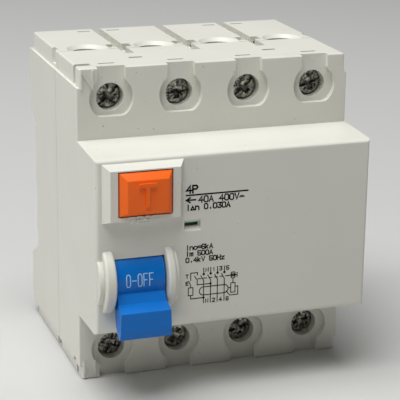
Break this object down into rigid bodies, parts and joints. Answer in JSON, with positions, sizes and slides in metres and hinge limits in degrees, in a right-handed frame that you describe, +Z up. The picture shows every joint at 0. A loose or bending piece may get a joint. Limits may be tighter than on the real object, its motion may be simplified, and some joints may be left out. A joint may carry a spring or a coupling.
{
  "type": "residual current device",
  "caption": "Modular residual current device for a mounting rail: stepped housing with toggle lever, test button, lifting cage terminals and a sliding rail latch.",
  "frame": {"origin": "centre of the face that sits on the mounting rail, level with the middle of the rail", "axes": "+Y out of the back towards the rail and the panel, +Z up, +X to the right seen from the front"},
  "size_m": [0.072, 0.0759, 0.082],
  "materials": {
    "button_plastic": "satin moulded",
    "cage_steel": "zinc plated",
    "contact_copper": "tinned and bare copper",
    "core_metal": "coated",
    "flag_plastic": "moulded",
    "housing_plastic": "fine matt moulded",
    "inner_plastic": "matt moulded",
    "latch_plastic": "matt moulded",
    "lever_plastic": "satin moulded",
    "mechanism_steel": "stamped",
    "resistor_body": "lacquered",
    "screw_steel": "zinc plated",
    "spring_bronze": "rolled",
    "spring_steel": "drawn",
    "winding_wire": "enamelled",
    "wire_insulation": "smooth"
  },
  "bodies": {
    "housing": {"base_housing": "housing_plastic", "button_spring": "spring_steel", "case_screws": "mechanism_steel", "centre_contact_1": "contact_copper", "centre_contact_2": "contact_copper", "centre_contact_3": "contact_copper", "centre_contact_4": "contact_copper", "core_winding": "winding_wire", "front_cover": "housing_plastic", "latch_pin": "mechanism_steel", "latch_spring": "spring_steel", "lever_pin": "mechanism_steel", "lever_spring": "spring_steel", "line_terminal_plate_1": "contact_copper", "line_terminal_plate_2": "contact_copper", "line_terminal_plate_3": "contact_copper", "line_terminal_plate_4": "contact_copper", "load_terminal_plate_1": "contact_copper", "load_terminal_plate_2": "contact_copper", "load_terminal_plate_3": "contact_copper", "load_terminal_plate_4": "contact_copper", "mechanism_plate_left": "mechanism_steel", "mechanism_plate_right": "mechanism_steel", "primary_wires": "wire_insulation", "ring_core": "core_metal", "test_contact_base": "inner_plastic", "test_contact_strip": "spring_bronze", "test_resistor": "resistor_body", "trip_relay": "inner_plastic"},
    "cage_clamp_lower_1": {"cage_clamp_lower_1": "cage_steel"},
    "cage_clamp_lower_2": {"cage_clamp_lower_2": "cage_steel"},
    "cage_clamp_lower_3": {"cage_clamp_lower_3": "cage_steel"},
    "cage_clamp_lower_4": {"cage_clamp_lower_4": "cage_steel"},
    "cage_clamp_upper_1": {"cage_clamp_upper_1": "cage_steel"},
    "cage_clamp_upper_2": {"cage_clamp_upper_2": "cage_steel"},
    "cage_clamp_upper_3": {"cage_clamp_upper_3": "cage_steel"},
    "cage_clamp_upper_4": {"cage_clamp_upper_4": "cage_steel"},
    "carrier": {"contact_bridge_1": "contact_copper", "contact_bridge_2": "contact_copper", "contact_bridge_3": "contact_copper", "contact_bridge_4": "contact_copper", "contact_carrier": "inner_plastic", "contact_springs": "spring_steel"},
    "link": {"lever_link": "mechanism_steel"},
    "position_flag": {"position_flag": "flag_plastic"},
    "rail_latch": {"rail_latch": "latch_plastic"},
    "plunger": {"relay_plunger": "mechanism_steel"},
    "terminal_screw_lower_1": {"terminal_screw_lower_1": "screw_steel"},
    "terminal_screw_lower_2": {"terminal_screw_lower_2": "screw_steel"},
    "terminal_screw_lower_3": {"terminal_screw_lower_3": "screw_steel"},
    "terminal_screw_lower_4": {"terminal_screw_lower_4": "screw_steel"},
    "terminal_screw_upper_1": {"terminal_screw_upper_1": "screw_steel"},
    "terminal_screw_upper_2": {"terminal_screw_upper_2": "screw_steel"},
    "terminal_screw_upper_3": {"terminal_screw_upper_3": "screw_steel"},
    "terminal_screw_upper_4": {"terminal_screw_upper_4": "screw_steel"},
    "test_button": {"test_button": "button_plastic"},
    "lever": {"toggle_lever": "lever_plastic"},
    "trip_latch": {"trip_latch": "mechanism_steel"}
  },
  "joints": [
    {"name": "lever_hinge", "type": "hinge", "parent": "housing", "child": "lever", "pos_m": [-0.02495, -0.0572, -0.0087], "axis": [-1, 0, 0], "range_deg": [0, 70]},
    {"name": "link_hinge", "type": "hinge", "parent": "lever", "child": "link", "pos_m": [-0.02495, -0.05942, -0.00552], "axis": [-1, 0, 0], "range_deg": [-70, 0]},
    {"name": "carrier_slide", "type": "slide", "parent": "housing", "child": "carrier", "axis": [0, 1, 0], "range_m": [0, 0.00445]},
    {"name": "flag_slide", "type": "slide", "parent": "housing", "child": "position_flag", "axis": [0, 0, -1], "range_m": [0, 0.0026]},
    {"name": "test_button_slide", "type": "slide", "parent": "housing", "child": "test_button", "axis": [0, 1, 0], "range_m": [0, 0.0018], "stiffness_N_per_m": 400, "springref_m": -0.002, "deforming": ["button_spring"]},
    {"name": "rail_latch_slide", "type": "slide", "parent": "housing", "child": "rail_latch", "axis": [0, 0, -1], "range_m": [0, 0.003], "stiffness_N_per_m": 800, "springref_m": -0.003, "deforming": ["latch_spring"]},
    {"name": "plunger_slide", "type": "slide", "parent": "housing", "child": "plunger", "axis": [0, -1, 0], "range_m": [0, 0.0014], "stiffness_N_per_m": 200, "springref_m": -0.001},
    {"name": "trip_latch_hinge", "type": "hinge", "parent": "housing", "child": "trip_latch", "pos_m": [-0.02495, -0.0372, -0.0166], "axis": [1, 0, 0], "range_deg": [0, 28]},
    {"name": "screw_turn_upper_1", "type": "hinge", "parent": "housing", "child": "terminal_screw_upper_1", "pos_m": [-0.027, -0.0414, 0.0332], "axis": [0, 1, 0], "range_deg": [0, 1980]},
    {"name": "cage_lift_upper_1", "type": "slide", "parent": "housing", "child": "cage_clamp_upper_1", "axis": [0, -1, 0], "range_m": [0, 0.0044]},
    {"name": "screw_turn_upper_2", "type": "hinge", "parent": "housing", "child": "terminal_screw_upper_2", "pos_m": [-0.009, -0.0414, 0.0332], "axis": [0, 1, 0], "range_deg": [0, 1980]},
    {"name": "cage_lift_upper_2", "type": "slide", "parent": "housing", "child": "cage_clamp_upper_2", "axis": [0, -1, 0], "range_m": [0, 0.0044]},
    {"name": "screw_turn_upper_3", "type": "hinge", "parent": "housing", "child": "terminal_screw_upper_3", "pos_m": [0.009, -0.0414, 0.0332], "axis": [0, 1, 0], "range_deg": [0, 1980]},
    {"name": "cage_lift_upper_3", "type": "slide", "parent": "housing", "child": "cage_clamp_upper_3", "axis": [0, -1, 0], "range_m": [0, 0.0044]},
    {"name": "screw_turn_upper_4", "type": "hinge", "parent": "housing", "child": "terminal_screw_upper_4", "pos_m": [0.027, -0.0414, 0.0332], "axis": [0, 1, 0], "range_deg": [0, 1980]},
    {"name": "cage_lift_upper_4", "type": "slide", "parent": "housing", "child": "cage_clamp_upper_4", "axis": [0, -1, 0], "range_m": [0, 0.0044]},
    {"name": "screw_turn_lower_1", "type": "hinge", "parent": "housing", "child": "terminal_screw_lower_1", "pos_m": [-0.027, -0.0414, -0.0332], "axis": [0, 1, 0], "range_deg": [0, 1980]},
    {"name": "cage_lift_lower_1", "type": "slide", "parent": "housing", "child": "cage_clamp_lower_1", "axis": [0, -1, 0], "range_m": [0, 0.0044]},
    {"name": "screw_turn_lower_2", "type": "hinge", "parent": "housing", "child": "terminal_screw_lower_2", "pos_m": [-0.009, -0.0414, -0.0332], "axis": [0, 1, 0], "range_deg": [0, 1980]},
    {"name": "cage_lift_lower_2", "type": "slide", "parent": "housing", "child": "cage_clamp_lower_2", "axis": [0, -1, 0], "range_m": [0, 0.0044]},
    {"name": "screw_turn_lower_3", "type": "hinge", "parent": "housing", "child": "terminal_screw_lower_3", "pos_m": [0.009, -0.0414, -0.0332], "axis": [0, 1, 0], "range_deg": [0, 1980]},
    {"name": "cage_lift_lower_3", "type": "slide", "parent": "housing", "child": "cage_clamp_lower_3", "axis": [0, -1, 0], "range_m": [0, 0.0044]},
    {"name": "screw_turn_lower_4", "type": "hinge", "parent": "housing", "child": "terminal_screw_lower_4", "pos_m": [0.027, -0.0414, -0.0332], "axis": [0, 1, 0], "range_deg": [0, 1980]},
    {"name": "cage_lift_lower_4", "type": "slide", "parent": "housing", "child": "cage_clamp_lower_4", "axis": [0, -1, 0], "range_m": [0, 0.0044]}
  ],
  "couplings": [
    {"joint": "link_hinge", "follows": "lever_hinge", "ratio": -1},
    {"joint": "carrier_slide", "follows": "lever_hinge", "m_per_rad": 0.0036424},
    {"joint": "flag_slide", "follows": "lever_hinge", "m_per_rad": 0.0021281},
    {"joint": "trip_latch_hinge", "follows": "plunger_slide", "rad_per_m": 349.07},
    {"joint": "screw_turn_upper_1", "follows": "cage_lift_upper_1", "rad_per_m": 7854},
    {"joint": "screw_turn_upper_2", "follows": "cage_lift_upper_2", "rad_per_m": 7854},
    {"joint": "screw_turn_upper_3", "follows": "cage_lift_upper_3", "rad_per_m": 7854},
    {"joint": "screw_turn_upper_4", "follows": "cage_lift_upper_4", "rad_per_m": 7854},
    {"joint": "screw_turn_lower_1", "follows": "cage_lift_lower_1", "rad_per_m": 7854},
    {"joint": "screw_turn_lower_2", "follows": "cage_lift_lower_2", "rad_per_m": 7854},
    {"joint": "screw_turn_lower_3", "follows": "cage_lift_lower_3", "rad_per_m": 7854},
    {"joint": "screw_turn_lower_4", "follows": "cage_lift_lower_4", "rad_per_m": 7854}
  ]
}
